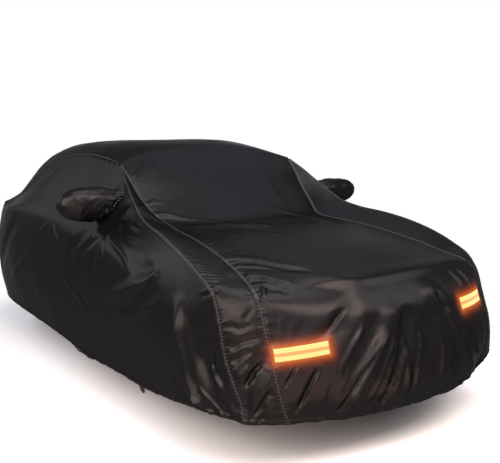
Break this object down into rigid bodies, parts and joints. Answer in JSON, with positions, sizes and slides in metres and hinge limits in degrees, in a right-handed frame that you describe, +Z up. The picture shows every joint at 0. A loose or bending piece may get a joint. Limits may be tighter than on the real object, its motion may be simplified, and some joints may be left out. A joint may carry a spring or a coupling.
{
  "type": "fitted car cover",
  "caption": "Fitted outdoor cover for a saloon car: sewn cloth panels, door-mirror pockets, reflective strips on the nose, an elastic hem and a strap with a buckle that passes under the car.",
  "frame": {"origin": "under the cloth at the middle of the roof, where the car carries the cover", "axes": "+Z up, -Y to the car's nose, +X to the car's left"},
  "size_m": [2.132, 4.6058, 1.4183],
  "materials": {
    "cloth": "black coated woven polyester with a slight sheen",
    "reflective": "yellow and orange reflective tape",
    "webbing": "black woven webbing",
    "plastic": "black moulded plastic"
  },
  "bodies": {
    "root": {"top_panel": "cloth", "corner_panel_right": "cloth", "side_panel_right": "cloth", "mirror_pocket_right": "cloth", "reflective_strip_right": "reflective", "hem_tab_right": "webbing", "corner_panel_left": "cloth", "side_panel_left": "cloth", "mirror_pocket_left": "cloth", "reflective_strip_left": "reflective", "hem_tab_left": "webbing", "strap_lead": "webbing", "buckle_socket": "plastic", "buckle_prongs": "plastic", "under_strap": "webbing"}
  },
  "joints": []
}
